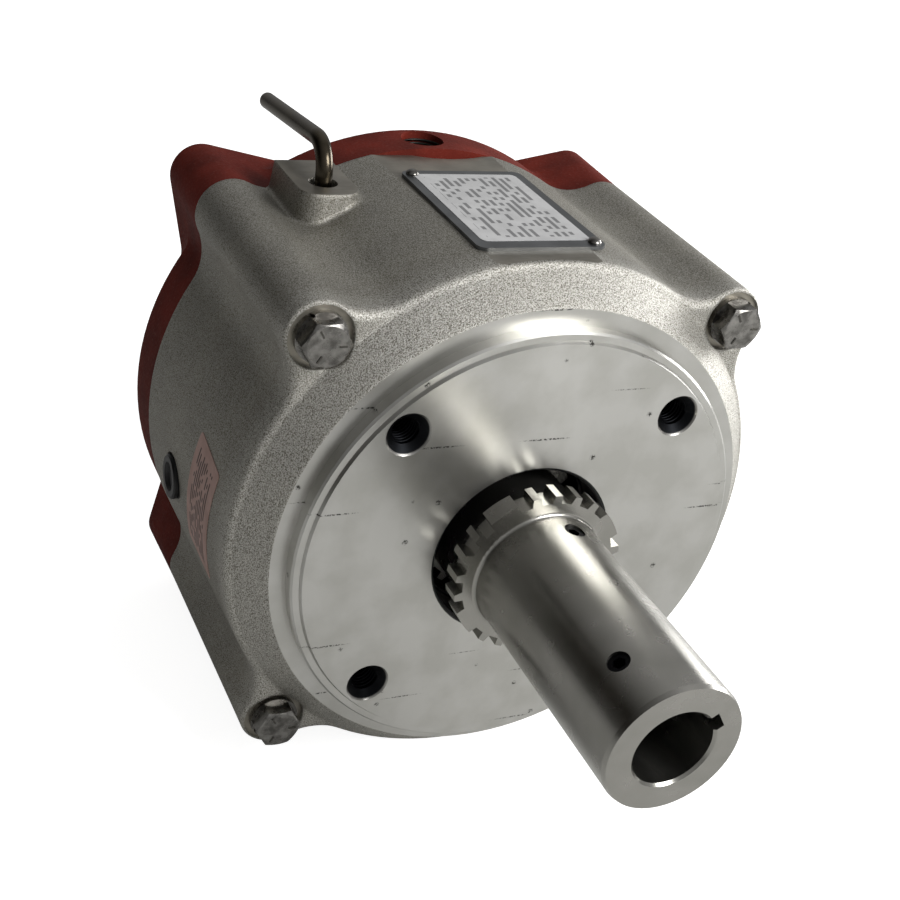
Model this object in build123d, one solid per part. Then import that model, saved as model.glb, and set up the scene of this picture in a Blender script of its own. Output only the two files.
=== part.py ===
from build123d import *
import math
import os

# Spring-set motor coupler brake with two C-faces, in millimetres.
# The shaft axis is Y and the output face looks to -Y. +Z is up, with the conduit entry on top.
# The origin is on the shaft axis, in the plane of the output face.

# Output face and cast housing
bolt_circle = 184.15
register_radius = 215.9 / 2
face_radius = 103.3
face_step = 1.6
face_bevel = 0.9
register_chamfer = 0.95
shoulder_y = 8.5
shoulder_radius = 115.4
slope_end_step = 4.6
lobe_front_y = 22.5
housing_rear_y = 154.0
housing_rear_radius = 132.4
draft_angle = 0.7
rim_round = 4.5
lobe_reach = 7.6
lobe_rear_radius = 17.0
lobe_valley_radius = 28.0
drum_wall = 12.4
front_wall = 24.0
column_radius = 15.0
column_web = 16.0
drill_run = 3.0
thread_clearance = 0.05
joint_overlap = 1.0
face_hole_radius = 12.7 / 2
face_hole_mouth_radius = 10.15
face_hole_depth = 30.0
front_bore_radius = 43.6

# Nameplate pad, lever boss and side port
pad_depth = 4.0
pad_front_y = 24.5
pad_notch_x = 8.0
pad_notch_radius = 42.0
pad_notch_depth = 4.5
pad_notch_step = 2.2
boss_x = -66.0
boss_rise = 10.5
boss_width = 28.0
boss_front_y = 110.0
boss_corner_radius = 9.0
boss_draft = 7.0
boss_foot_radius = 2.0
boss_bottom_z = 92.0
port_y = 108.0
port_z = -14.5
port_radius = 9.0
port_face_depth = 3.2
port_face_margin = 1.0

# Housing bolts, half inch, and their washers
bolt_radius = 12.7 / 2
bolt_head_flats = 19.05
bolt_head_height = 7.9
bolt_crown_angle = 30.0
bolt_crown_radius = 9.05
bolt_engagement = 21.0
washer_radius = 11.4
washer_thickness = 2.9
washer_gap = 1.6
washer_gap_tilt = 24.0
washer_gap_angles = (60.0, 120.0, 215.0, 330.0)
spot_face_radius = 14.2
spot_face_depth = 3.0
bolt_hole_clearance = 0.4

# Cast iron endplate on the motor side
endplate_thickness = 46.0
endplate_step = 0.4
endplate_land = 27.0
endplate_taper = 10.0
endplate_web = 12.0
endplate_recess_radius = 70.0
ear_flare = 2.5
ear_tip_radius = 15.0
ear_root_inset = 26.0
ear_root_half_width = 42.0
ear_front_half_width = 33.0
ear_valley_radius = 9.0
spigot_length = 5.0
spigot_width = 11.0
spigot_clearance = 0.1
register_depth = 6.5
endplate_bore_radius = 45.0
motor_bolt_hole_radius = 6.75
motor_bolt_recess_radius = 10.3
motor_bolt_recess_depth = 13.0
friction_face_margin = 1.0
conduit_radius = 21.3 / 2
conduit_back = 14.5
conduit_floor_z = 116.2
wire_passage_radius = 6.0
wire_passage_inset = 7.0
wire_passage_run = 3.0

# Magnet, coil and pressure springs
magnet_rear_y = 62.0
magnet_radius = 106.0
magnet_bore_radius = 46.5
inner_pole_width = 13.5
coil_slot_width = 24.0
magnet_back_wall = 18.0
coil_clearance = 0.3
coil_length = 24.0
spring_centre_radius = 95.0
spring_angles = (65, 85)
spring_pocket_radius = 6.6
spring_pocket_depth = 24.0
spring_mean_radius = 5.0
spring_wire_width = 2.2
spring_wire_height = 1.8
spring_turns = 4
spring_end_gap = 0.1
magnet_screw_radius = 9.525 / 2
magnet_screw_head_radius = 7.1
magnet_screw_head_height = 9.5
magnet_screw_engagement = 24.0
magnet_screw_recess = 2.0
magnet_screw_clearance = 0.4
magnet_screw_socket_flats = 8.0
magnet_screw_socket_depth = 5.0
air_gap = 1.3

# Pressure plate, friction discs and stationary disc
lever_y = 125.5
armature_thickness = 12.0
armature_bore_radius = 47.0
face_gap = 0.1
disc_thickness = 10.0
disc_radius = 80.0
disc_core_thickness = 3.2
disc_core_radius = 78.0
disc_hub_radius = 50.0
lining_inner_radius = 53.0
stationary_thickness = 5.0
stationary_radius = 86.0
stationary_bore_radius = 48.0
lug_radius = 12.0
torque_pin_radius = 6.0
torque_pin_centre_radius = 96.0
torque_pin_angle = 20.0
torque_pin_clearance = 0.1
torque_pin_seat = 15.0
torque_pin_end_gap = 2.0
torque_pin_engagement = 3.0

# Coupler sleeve with its splines
sleeve_radius = 60.3 / 2
sleeve_front_y = -134.2
sleeve_rear_y = 186.0
sleeve_bore_radius = 34.925 / 2
sleeve_end_bevel = 0.7
sleeve_end_bevel_length = 2.2
sleeve_bore_chamfer = 1.1
key_width = 7.94
key_depth = 3.9
key_angle = 33.5
spline_count = 24
spline_phase = 102.4
spline_tip_radius = 40.1
spline_root_radius = 36.3
spline_tip_width = 3.1
spline_root_width = 5.4
spline_land_angle = 34.9
spline_foot = 3.0
spline_clearance = 0.15
collar_front_y = -17.5
collar_width = 9.5
collar_fillet = 1.8
neck_radius = 33.5
rear_spline_y = 30.0
rear_spline_end_y = 152.0
set_screw_radius = 9.525 / 2
set_screw_length = 9.0
set_screw_sink = 1.2
set_screw_socket_flats = 4.8
set_screw_socket_depth = 5.0
front_screw_y = -28.6
end_screw_y = -108.4
rear_screw_y = 160.0
rear_end_screw_y = 174.0
near_screw_turn = 45.0
far_screw_turn = 90.0

# Bore guard, label, nameplate and port plug
guard_wall = 1.7
guard_front_y = 0.6
guard_length = 22.0
guard_lip = 0.6
guard_lip_length = 3.0
guard_bevel = 1.0
plate_length = 91.0
plate_width = 62.0
plate_centre_x = 3.3
plate_front_y = 38.1
plate_thickness = 1.5
plate_corner_radius = 4.5
plate_screw_inset = 4.6
plate_screw_head_radius = 3.0
plate_screw_head_height = 2.5
plate_screw_shank_radius = 1.6
plate_screw_length = 8.0
plug_head_radius = 10.9
plug_head_height = 4.2
plug_groove_depth = 1.0
plug_groove_width = 0.9
plug_flange_thickness = 1.2
plug_dish_radius = 7.2
plug_dish_bevel = 1.0
plug_dish_depth = 1.8
plug_rim_bevel = 0.8
plug_stem_length = 14.0
label_height = 62.5
label_width = 31.8
label_centre_y = 64.9
label_centre_z = -4.6
label_tilt = -9.0
label_corner_radius = 2.0
label_lift = 0.02
label_thickness = 0.25

# Manual release lever
lever_radius = 7.94 / 2
lever_bend_height = 17.7
lever_bend_radius = 13.0
lever_reach = 89.0
lever_slope = -5.5
lever_hole_radius = 6.85
lever_tip_round = 1.2
bush_top_drop = 6.0
bush_length = 21.0
bush_running_clearance = 0.04
bush_fit = 0.03
cam_radius = 6.0
cam_offset = 1.2
cam_rest_angle = 150.0
cam_gap = 0.1
cam_fit = 0.02
cam_bottom_z = 74.0
cam_length = 14.0
cam_pin_radius = 1.5
clip_radius = 6.4
clip_thickness = 1.2
clip_groove = 0.5
clip_mouth = 4.2

# Coil leads
lead_radius = 1.3
lead_clearance = 0.6
lead_spacing = 6.0
lead_bend_radius = 6.0
lead_turn_y = 54.0
cap_radius = 2.4
cap_length = 9.0
cap_front_y = 160.0

# Places that follow from the sizes above
bolt_station = bolt_circle / 2 * math.cos(math.radians(45))
slope_end_radius = housing_rear_radius - slope_end_step
lobe_offset = (housing_rear_radius + lobe_reach) / math.sqrt(2)
cavity_radius = housing_rear_radius - drum_wall
web_run = housing_rear_radius - bolt_circle / 2
outer_reach = 1.5 * housing_rear_radius
pad_height = housing_rear_radius - pad_depth
boss_top = math.sqrt(housing_rear_radius ** 2 - boss_x ** 2) + boss_rise
spot_face_y = lobe_front_y + spot_face_depth
endplate_radius = housing_rear_radius - endplate_step
endplate_rear_y = housing_rear_y + endplate_thickness
ear_offset = lobe_offset + ear_flare
ear_root_distance = endplate_radius - ear_root_inset
wire_passage_z = cavity_radius - wire_passage_inset
register_floor_y = endplate_rear_y - register_depth
conduit_y = housing_rear_y + conduit_back
cam_shift_x = cam_offset * math.cos(math.radians(cam_rest_angle))
cam_shift_y = cam_offset * math.sin(math.radians(cam_rest_angle))
armature_rear_y = lever_y + cam_shift_y - cam_radius - cam_gap
armature_front_y = armature_rear_y - armature_thickness
magnet_face_y = armature_front_y - air_gap
front_disc_y = armature_rear_y + face_gap
stationary_y = front_disc_y + disc_thickness + face_gap
rear_disc_y = stationary_y + stationary_thickness + face_gap
friction_face_y = rear_disc_y + disc_thickness + face_gap
inner_pole_radius = magnet_bore_radius + inner_pole_width
slot_outer_radius = inner_pole_radius + coil_slot_width
slot_floor_y = magnet_rear_y + magnet_back_wall
lever_bend_z = boss_top + lever_bend_height
bush_top_z = boss_top - bush_top_drop
port_face_x = housing_rear_radius - port_face_depth
plate_screw_x = plate_width / 2 - plate_screw_inset
plate_screw_stations = (
    (plate_centre_x - plate_screw_x, plate_front_y + plate_length - plate_screw_inset),
    (plate_centre_x + plate_screw_x, plate_front_y + plate_screw_inset),
)
set_screw_places = (
    (front_screw_y, near_screw_turn), (end_screw_y, far_screw_turn),
    (rear_screw_y, near_screw_turn), (rear_end_screw_y, far_screw_turn),
)


def side_plane(y):
    """A sketch plane across the shaft at y, with world X and Z as its two directions."""
    return Plane.XZ.offset(-y)


def rod_y(radius, y_start, y_end, x=0, z=0):
    """A round bar along Y."""
    sketch = side_plane(y_start) * (Pos(x, z) * Circle(radius))
    return extrude(sketch, -(y_end - y_start))


def rod_z(radius, z_start, z_end, x=0, y=0):
    """A round bar along Z."""
    sketch = Plane.XY.offset(z_start) * (Pos(x, y) * Circle(radius))
    return extrude(sketch, z_end - z_start)


def turned(*points):
    """A solid of revolution about the shaft axis, from points given as (radius, y)."""
    return revolve(Plane.XY * make_face(Polyline(*points, close=True)), Axis.Y)


def ring_y(inner, outer, y_start, y_end):
    """A plain ring about the shaft axis."""
    return turned((inner, y_start), (outer, y_start), (outer, y_end), (inner, y_end))


def polar(radius, angle):
    """World X and Z of a point given by its radius and angle about the shaft axis."""
    turn = math.radians(angle)
    return radius * math.cos(turn), radius * math.sin(turn)


def around(solid, angles):
    """Copies of a solid turned about the shaft axis, angles anticlockwise seen from the front."""
    return [solid.rotate(Axis.Y, -angle) for angle in angles]


def corners():
    """The four diagonal signs, for what repeats at the corners."""
    return ((1, 1), (-1, 1), (-1, -1), (1, -1))


def spline_sketch(clearance=0.0):
    """Straight-sided spline with pairs of teeth joined into a wide land every quarter turn."""
    root = spline_root_radius + clearance
    tip = spline_tip_radius + clearance
    half_root = spline_root_width / 2 + clearance
    half_tip = spline_tip_width / 2 + clearance
    pitch = 360 / spline_count
    tooth = Polygon(
        (root - spline_foot, -half_root), (tip + joint_overlap, -half_tip),
        (tip + joint_overlap, half_tip), (root - spline_foot, half_root), align=None,
    )
    reach = tip + spline_foot
    half_land = pitch / 2
    land = Polygon(
        (0, 0), polar(reach, -half_land), polar(reach + joint_overlap, 0), polar(reach, half_land),
        align=None,
    )
    sketch = Sketch() + Circle(root)
    for index in range(spline_count):
        sketch += Rot(0, 0, spline_phase + pitch * index) * tooth
    for quarter in range(4):
        sketch += Rot(0, 0, spline_land_angle + 90 * quarter) * land
    return sketch & Circle(tip)


def housing_outline():
    """The casting's outline at its rear face: a drum with a bolt lobe on each diagonal."""
    sketch = Sketch() + Circle(housing_rear_radius)
    for sx, sz in corners():
        sketch += Pos(sx * lobe_offset, sz * lobe_offset) * Circle(lobe_rear_radius)
    return fillet(sketch.vertices(), lobe_valley_radius)


def lever_boss():
    """The raised boss that carries the release lever, drafted and with its foot in the drum."""
    length = housing_rear_y - boss_front_y
    centre_y = boss_front_y + length / 2
    top = Pos(boss_x, centre_y) * Rectangle(boss_width, length)
    front = top.vertices().sort_by(Axis.Y)[:2]
    top = fillet(front, boss_corner_radius)
    block = extrude(Plane.XY.offset(boss_top) * top, -(boss_top - boss_bottom_z), taper=-boss_draft)
    return block & Pos(0, housing_rear_y / 2, 0) * Box(2 * outer_reach, housing_rear_y, 2 * outer_reach)


def make_housing():
    """Cast housing with its output face, bolt lobes, pad, boss and cavity."""
    blank = extrude(side_plane(housing_rear_y) * housing_outline(), housing_rear_y, taper=draft_angle)
    front_shape = turned(
        (0, 0), (face_radius, 0), (face_radius + face_bevel, face_step),
        (register_radius - register_chamfer, face_step),
        (register_radius, face_step + register_chamfer), (register_radius, shoulder_y),
        (shoulder_radius, shoulder_y), (slope_end_radius, lobe_front_y),
        (outer_reach, lobe_front_y), (outer_reach, housing_rear_y), (0, housing_rear_y),
    )
    body = blank & front_shape
    front_rim = [
        edge for edge in body.edges()
        if abs((edge @ 0.3).Y - lobe_front_y) < 0.01 and abs((edge @ 0.6).Y - lobe_front_y) < 0.01
        and math.hypot((edge @ 0.5).X, (edge @ 0.5).Z) > slope_end_radius + 1
    ]
    body = fillet(front_rim, rim_round)

    # The milled pad for the nameplate, with the notch that clears the conduit fitting
    above = Box(outer_reach, outer_reach, outer_reach, align=(Align.CENTER, Align.MIN, Align.MIN))
    body -= Pos(0, pad_front_y, pad_height) * above
    notch_y = housing_rear_y + pad_notch_radius - pad_notch_depth
    body -= rod_z(pad_notch_radius, pad_height - pad_notch_step, outer_reach, pad_notch_x, notch_y)

    # The lever boss
    body += lever_boss()
    foot = [
        edge for edge in body.edges()
        if abs((edge @ 0.5).X - boss_x) < boss_width
        and boss_front_y - 10 < (edge @ 0.5).Y < housing_rear_y - 0.5
        and boss_bottom_z < (edge @ 0).Z < boss_top - 1
        and boss_bottom_z < (edge @ 1).Z < boss_top - 1
    ]
    body = fillet(foot, boss_foot_radius)

    # The cavity, with a column behind each tapped hole that the magnet seats on
    cavity = rod_y(cavity_radius, front_wall, housing_rear_y)
    for sx, sz in corners():
        column = rod_y(column_radius, front_wall, magnet_rear_y, sx * bolt_station, sz * bolt_station)
        web_centre = side_plane(front_wall) * (Rot(0, 0, math.degrees(math.atan2(sz, sx))) * (
            Pos(bolt_circle / 2 + web_run / 2, 0) * Rectangle(web_run, column_web)))
        column += extrude(web_centre, -(magnet_rear_y - front_wall))
        cavity -= column
    body -= cavity

    # Bores and holes
    body -= rod_y(front_bore_radius, 0, front_wall)
    mouth = face_hole_mouth_radius - face_hole_radius
    for sx, sz in corners():
        x = sx * bolt_station
        z = sz * bolt_station
        body -= rod_y(face_hole_radius, 0, face_hole_depth, x, z)
        cone = Cone(face_hole_radius, face_hole_mouth_radius, mouth)
        body -= Pos(x, mouth / 2, z) * Rot(90, 0, 0) * cone
        body -= rod_y(magnet_screw_radius, magnet_rear_y - magnet_screw_engagement, magnet_rear_y, x, z)
        lobe_x = sx * lobe_offset
        lobe_z = sz * lobe_offset
        body -= rod_y(bolt_radius + bolt_hole_clearance, 0, housing_rear_y, lobe_x, lobe_z)
        body -= rod_y(spot_face_radius, 0, spot_face_y, lobe_x, lobe_z)
    body -= rod_z(lever_hole_radius, boss_bottom_z - 10, boss_top, boss_x, lever_y)
    port = Plane(origin=(0, port_y, port_z), z_dir=(-1, 0, 0))
    body -= extrude(port * Circle(port_radius), outer_reach)
    body -= port * Pos(0, 0, port_face_x) * extrude(Circle(plug_head_radius + port_face_margin), drum_wall)
    for x, y in plate_screw_stations:
        body -= rod_z(plate_screw_shank_radius, pad_height - plate_screw_length, pad_height, x, y)
    return body


def ear_outline(offset, tip_radius, half_width):
    """One ear along local +X: a round tip with straight flanks down to its root."""
    reach = offset * math.sqrt(2)
    run = reach - ear_root_distance
    span = math.hypot(run, half_width)
    turn = math.atan2(-half_width, run) + math.asin(tip_radius / span)
    flank = math.sqrt(span ** 2 - tip_radius ** 2)
    touch_x = ear_root_distance + flank * math.cos(turn)
    touch_y = half_width + flank * math.sin(turn)
    outline = Polyline(
        (touch_x, -touch_y), (ear_root_distance, -half_width), (ear_root_distance, half_width),
        (touch_x, touch_y),
    )
    outline += ThreePointArc((touch_x, touch_y), (reach + tip_radius, 0), (touch_x, -touch_y))
    return make_face(outline)


def make_ear(angle):
    """An ear that starts flush with a housing lobe and flares towards the motor side."""
    front = ear_outline(lobe_offset, lobe_rear_radius, ear_front_half_width)
    rear = ear_outline(ear_offset, ear_tip_radius, ear_root_half_width)
    turn = Rot(0, 0, angle)
    return loft([side_plane(housing_rear_y) * (turn * front), side_plane(endplate_rear_y) * (turn * rear)])


def make_endplate():
    """Cast iron endplate: tapered round plate, four ears, spigot, friction face and register."""
    land_y = housing_rear_y + endplate_land
    plate = turned(
        (0, housing_rear_y), (endplate_radius, housing_rear_y), (endplate_radius, land_y),
        (endplate_radius - endplate_taper, endplate_rear_y), (0, endplate_rear_y),
    )
    for sx, sz in corners():
        plate += make_ear(math.degrees(math.atan2(sz, sx)))
    valleys = [
        edge for edge in plate.edges()
        if abs((edge @ 0).Y - (edge @ 1).Y) > min(endplate_land, endplate_thickness - endplate_land) / 2
        and math.hypot((edge @ 0.5).X, (edge @ 0.5).Z) < endplate_radius + 0.5
    ]
    plate = fillet(valleys, ear_valley_radius)
    spigot_radius = cavity_radius - spigot_clearance
    spigot_y = housing_rear_y - spigot_length
    plate += ring_y(spigot_radius - spigot_width, spigot_radius, spigot_y, housing_rear_y)
    friction_outer = bolt_circle / 2 - motor_bolt_recess_radius - friction_face_margin
    plate += ring_y(endplate_bore_radius, friction_outer, friction_face_y, housing_rear_y)
    plate -= rod_y(endplate_bore_radius, friction_face_y, endplate_rear_y)
    plate -= rod_y(register_radius, register_floor_y, endplate_rear_y)
    plate -= rod_y(endplate_recess_radius, housing_rear_y + endplate_web, endplate_rear_y)
    for sx, sz in corners():
        x = sx * bolt_station
        z = sz * bolt_station
        plate -= rod_y(motor_bolt_hole_radius, housing_rear_y, endplate_rear_y, x, z)
        recess_end = housing_rear_y + motor_bolt_recess_depth
        plate -= rod_y(motor_bolt_recess_radius, spigot_y, recess_end, x, z)
        lobe_x = sx * lobe_offset
        lobe_z = sz * lobe_offset
        hole_end = housing_rear_y + bolt_engagement + drill_run
        plate -= rod_y(bolt_radius, housing_rear_y, hole_end, lobe_x, lobe_z)
    pin_end = housing_rear_y + torque_pin_engagement + torque_pin_end_gap
    pin_x, pin_z = polar(torque_pin_centre_radius, torque_pin_angle)
    pin_hole = rod_y(torque_pin_radius + torque_pin_clearance, housing_rear_y, pin_end, pin_x, pin_z)
    for hole in around(pin_hole, (0, 90, 180, 270)):
        plate -= hole
    plate -= rod_z(conduit_radius, conduit_floor_z, outer_reach, 0, conduit_y)
    passage_end = cap_front_y + cap_length + wire_passage_run
    plate -= rod_y(wire_passage_radius, spigot_y, passage_end, 0, wire_passage_z)
    return plate


def make_housing_bolt(x, z):
    """A hex cap screw with a chamfered head and a washer face."""
    seat = spot_face_y - washer_thickness
    head = extrude(
        side_plane(seat) * (Pos(x, z) * RegularPolygon(bolt_head_flats / 2, 6, major_radius=False)),
        bolt_head_height,
    )
    crown_base = bolt_crown_radius + bolt_head_height / math.tan(math.radians(bolt_crown_angle))
    crown = Pos(x, seat - bolt_head_height, z) * Rot(90, 0, 0) * Cone(
        crown_base, bolt_crown_radius, bolt_head_height, align=(Align.CENTER, Align.CENTER, Align.MAX),
    )
    head = head & crown
    shank = rod_y(bolt_radius - thread_clearance, seat, housing_rear_y + bolt_engagement, x, z)
    return head + shank


def make_washer(x, z, gap_angle):
    """A split lock washer under a housing bolt, with its slanted gap."""
    inner = bolt_radius + bolt_hole_clearance / 2
    seat = spot_face_y - washer_thickness
    ring = rod_y(washer_radius, seat, spot_face_y, x, z) - rod_y(inner, seat, spot_face_y, x, z)
    side = (Align.MIN, Align.CENTER, Align.CENTER)
    gap = Box(washer_radius, 4 * washer_thickness, washer_gap, align=side)
    gap = Rot(0, -gap_angle, 0) * Rot(washer_gap_tilt, 0, 0) * gap
    return ring - Pos(x, spot_face_y - washer_thickness / 2, z) * gap


def make_magnet():
    """Magnet body: inner and outer pole round the coil slot, on a back wall."""
    body = turned(
        (magnet_bore_radius, magnet_rear_y), (magnet_radius, magnet_rear_y),
        (magnet_radius, magnet_face_y), (slot_outer_radius, magnet_face_y),
        (slot_outer_radius, slot_floor_y), (inner_pole_radius, slot_floor_y),
        (inner_pole_radius, magnet_face_y), (magnet_bore_radius, magnet_face_y),
    )
    for sx, sz in corners():
        x = sx * bolt_station
        z = sz * bolt_station
        body -= rod_y(magnet_screw_radius + magnet_screw_clearance, magnet_rear_y, magnet_face_y, x, z)
        seat = magnet_face_y - magnet_screw_recess - magnet_screw_head_height
        body -= rod_y(magnet_screw_head_radius + magnet_screw_clearance, seat, magnet_face_y, x, z)
    pocket_x, pocket_z = polar(spring_centre_radius, 0)
    pocket_y = magnet_face_y - spring_pocket_depth
    pocket = rod_y(spring_pocket_radius, pocket_y, magnet_face_y, pocket_x, pocket_z)
    angles = [angle + 90 * quarter for angle in spring_angles for quarter in range(4)]
    for hole in around(pocket, angles):
        body -= hole
    pin_x, pin_z = polar(torque_pin_centre_radius, torque_pin_angle)
    seat = rod_y(torque_pin_radius, magnet_face_y - torque_pin_seat, magnet_face_y, pin_x, pin_z)
    for hole in around(seat, (0, 90, 180, 270)):
        body -= hole
    lead_z = inner_pole_radius + coil_slot_width / 2
    for side in (-1, 1):
        body -= rod_y(
            lead_radius + lead_clearance, magnet_rear_y, slot_floor_y, side * lead_spacing / 2, lead_z,
        )
    return body


def make_coil():
    """Potted coil that fills the magnet's slot."""
    return ring_y(
        inner_pole_radius + coil_clearance, slot_outer_radius - coil_clearance,
        slot_floor_y, slot_floor_y + coil_length,
    )


def make_coil_lead(side):
    """One coil lead: out through the back wall, over the magnet and back to the conduit entry."""
    x = side * lead_spacing / 2
    lead_z = inner_pole_radius + coil_slot_width / 2
    path = FilletPolyline(
        (x, slot_floor_y, lead_z), (x, lead_turn_y, lead_z), (x, lead_turn_y, wire_passage_z),
        (x, cap_front_y, wire_passage_z), radius=lead_bend_radius,
    )
    return sweep(Plane(origin=path @ 0, z_dir=path % 0) * Circle(lead_radius), path)


def make_lead_cap(side):
    """The crimped cap on the end of a lead."""
    x = side * lead_spacing / 2
    return rod_y(cap_radius, cap_front_y, cap_front_y + cap_length, x, wire_passage_z)


def make_magnet_screw(sx, sz):
    """A socket head screw that holds the magnet to a housing column."""
    x = sx * bolt_station
    z = sz * bolt_station
    head_top = magnet_face_y - magnet_screw_recess
    seat = head_top - magnet_screw_head_height
    screw = rod_y(magnet_screw_head_radius, seat, head_top, x, z)
    shank_end = magnet_rear_y - magnet_screw_engagement + drill_run
    screw += rod_y(magnet_screw_radius - thread_clearance, shank_end, seat, x, z)
    hexagon = Pos(x, z) * RegularPolygon(magnet_screw_socket_flats / 2, 6, major_radius=False)
    return screw - extrude(side_plane(head_top) * hexagon, magnet_screw_socket_depth)


def make_spring():
    """A pressure spring in its pocket, pressed between the pocket floor and the armature."""
    ends = spring_wire_height / 2 + spring_end_gap
    length = armature_front_y - magnet_face_y + spring_pocket_depth - 2 * ends
    helix = Helix(length / spring_turns, length, spring_mean_radius)
    start = Plane(origin=helix @ 0, x_dir=(1, 0, 0), z_dir=helix % 0)
    coil = sweep(start * Rectangle(spring_wire_width, spring_wire_height), helix, is_frenet=True)
    x, z = polar(spring_centre_radius, 0)
    return Pos(x, armature_front_y - ends, z) * Rot(90, 0, 0) * coil


def make_armature():
    """Pressure plate with its sliding holes for the torque pins."""
    plate = ring_y(armature_bore_radius, magnet_radius, armature_front_y, armature_rear_y)
    x, z = polar(torque_pin_centre_radius, torque_pin_angle)
    hole = rod_y(torque_pin_radius + torque_pin_clearance, armature_front_y, armature_rear_y, x, z)
    for cut in around(hole, (0, 90, 180, 270)):
        plate -= cut
    return plate


def make_stationary_disc():
    """Stationary disc between the friction discs, with four lugs on the torque pins."""
    x, z = polar(torque_pin_centre_radius, torque_pin_angle)
    end_y = stationary_y + stationary_thickness
    plate = ring_y(stationary_bore_radius, stationary_radius, stationary_y, end_y)
    lug = rod_y(lug_radius, stationary_y, end_y, x, z)
    hole = rod_y(torque_pin_radius + torque_pin_clearance, stationary_y, end_y, x, z)
    for part in around(lug, (0, 90, 180, 270)):
        plate += part
    for cut in around(hole, (0, 90, 180, 270)):
        plate -= cut
    return plate


def make_torque_pin():
    """A torque pin from its seat in the magnet to its hole in the endplate."""
    x, z = polar(torque_pin_centre_radius, torque_pin_angle)
    pin_end = housing_rear_y + torque_pin_engagement
    return rod_y(torque_pin_radius, magnet_face_y - torque_pin_seat, pin_end, x, z)


def make_disc_core(front_y):
    """Steel core of a friction disc: a splined hub on a thin web."""
    middle = front_y + disc_thickness / 2
    hub = rod_y(disc_hub_radius, front_y, front_y + disc_thickness)
    web = rod_y(disc_core_radius, middle - disc_core_thickness / 2, middle + disc_core_thickness / 2)
    bore = extrude(side_plane(front_y) * spline_sketch(spline_clearance), -disc_thickness)
    return hub + web - bore


def make_linings(front_y):
    """The two bonded linings of a friction disc."""
    depth = (disc_thickness - disc_core_thickness) / 2
    rear_y = front_y + disc_thickness
    return [
        ring_y(lining_inner_radius, disc_radius, front_y, front_y + depth),
        ring_y(lining_inner_radius, disc_radius, rear_y - depth, rear_y),
    ]


def make_sleeve():
    """Coupler sleeve: long tube, front spline collar, neck and rear splined hub."""
    collar_rear_y = collar_front_y + collar_width
    tube = turned(
        (sleeve_bore_radius + sleeve_bore_chamfer, sleeve_front_y),
        (sleeve_radius - sleeve_end_bevel, sleeve_front_y),
        (sleeve_radius, sleeve_front_y + sleeve_end_bevel_length),
        (sleeve_radius, collar_rear_y), (sleeve_radius, sleeve_rear_y),
        (sleeve_bore_radius + sleeve_bore_chamfer, sleeve_rear_y),
        (sleeve_bore_radius, sleeve_rear_y - sleeve_bore_chamfer),
        (sleeve_bore_radius, sleeve_front_y + sleeve_bore_chamfer),
    )
    inner = sleeve_radius - joint_overlap
    tube += ring_y(inner, neck_radius, collar_front_y, sleeve_rear_y)
    ring = spline_sketch() - Circle(inner)
    tube += extrude(side_plane(collar_front_y) * ring, -collar_width)
    tube += extrude(side_plane(rear_spline_y) * ring, -(rear_spline_end_y - rear_spline_y))
    root = [
        edge for edge in tube.edges().filter_by(GeomType.CIRCLE)
        if abs((edge @ 0).Y - collar_front_y) < 0.01 and abs(edge.radius - sleeve_radius) < 0.01
    ]
    tube = fillet(root, collar_fillet)
    slot_reach = sleeve_bore_radius + key_depth
    slot = Pos(slot_reach / 2, 0) * Rectangle(slot_reach, key_width)
    keyway = extrude(
        side_plane(sleeve_front_y) * (Rot(0, 0, key_angle) * slot), -(sleeve_rear_y - sleeve_front_y),
    )
    tube -= keyway
    for y, turn in set_screw_places:
        tube -= radial_rod(set_screw_radius, 0, 2 * sleeve_radius, y, key_angle + turn)
    return tube


def radial_rod(radius, start, end, y, angle):
    """A round bar that points out from the shaft axis at y and angle."""
    turn = math.radians(angle)
    out = Vector(math.cos(turn), 0, math.sin(turn))
    plane = Plane(origin=out * start + Vector(0, y, 0), z_dir=out)
    return extrude(plane * Circle(radius), end - start)


def make_set_screw(y, turn):
    """A socket set screw sunk a little into the sleeve."""
    surface = sleeve_radius if y < collar_front_y else neck_radius
    top = surface - set_screw_sink
    angle = key_angle + turn
    screw = radial_rod(set_screw_radius - thread_clearance, top - set_screw_length, top, y, angle)
    turned_angle = math.radians(angle)
    out = Vector(math.cos(turned_angle), 0, math.sin(turned_angle))
    plane = Plane(origin=out * top + Vector(0, y, 0), z_dir=out)
    hexagon = plane * RegularPolygon(set_screw_socket_flats / 2, 6, major_radius=False)
    return screw - extrude(hexagon, -set_screw_socket_depth)


def make_guard():
    """Black liner of the front bore, with a small inward lip."""
    outer = front_bore_radius
    inner = outer - guard_wall
    end_y = guard_front_y + guard_length
    lip_y = end_y - guard_lip_length
    return turned(
        (inner, guard_front_y + guard_bevel), (inner + guard_bevel, guard_front_y),
        (outer, guard_front_y), (outer, end_y), (inner - guard_lip, end_y),
        (inner - guard_lip, lip_y), (inner, lip_y - guard_bevel),
    )


def make_nameplate():
    """Blank data plate with rounded corners and two screw holes."""
    centre = Pos(plate_centre_x, plate_front_y + plate_length / 2)
    outline = centre * RectangleRounded(plate_width, plate_length, plate_corner_radius)
    plate = extrude(Plane.XY.offset(pad_height) * outline, plate_thickness)
    for x, y in plate_screw_stations:
        plate -= rod_z(plate_screw_shank_radius, pad_height, pad_height + plate_thickness, x, y)
    return plate


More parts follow.
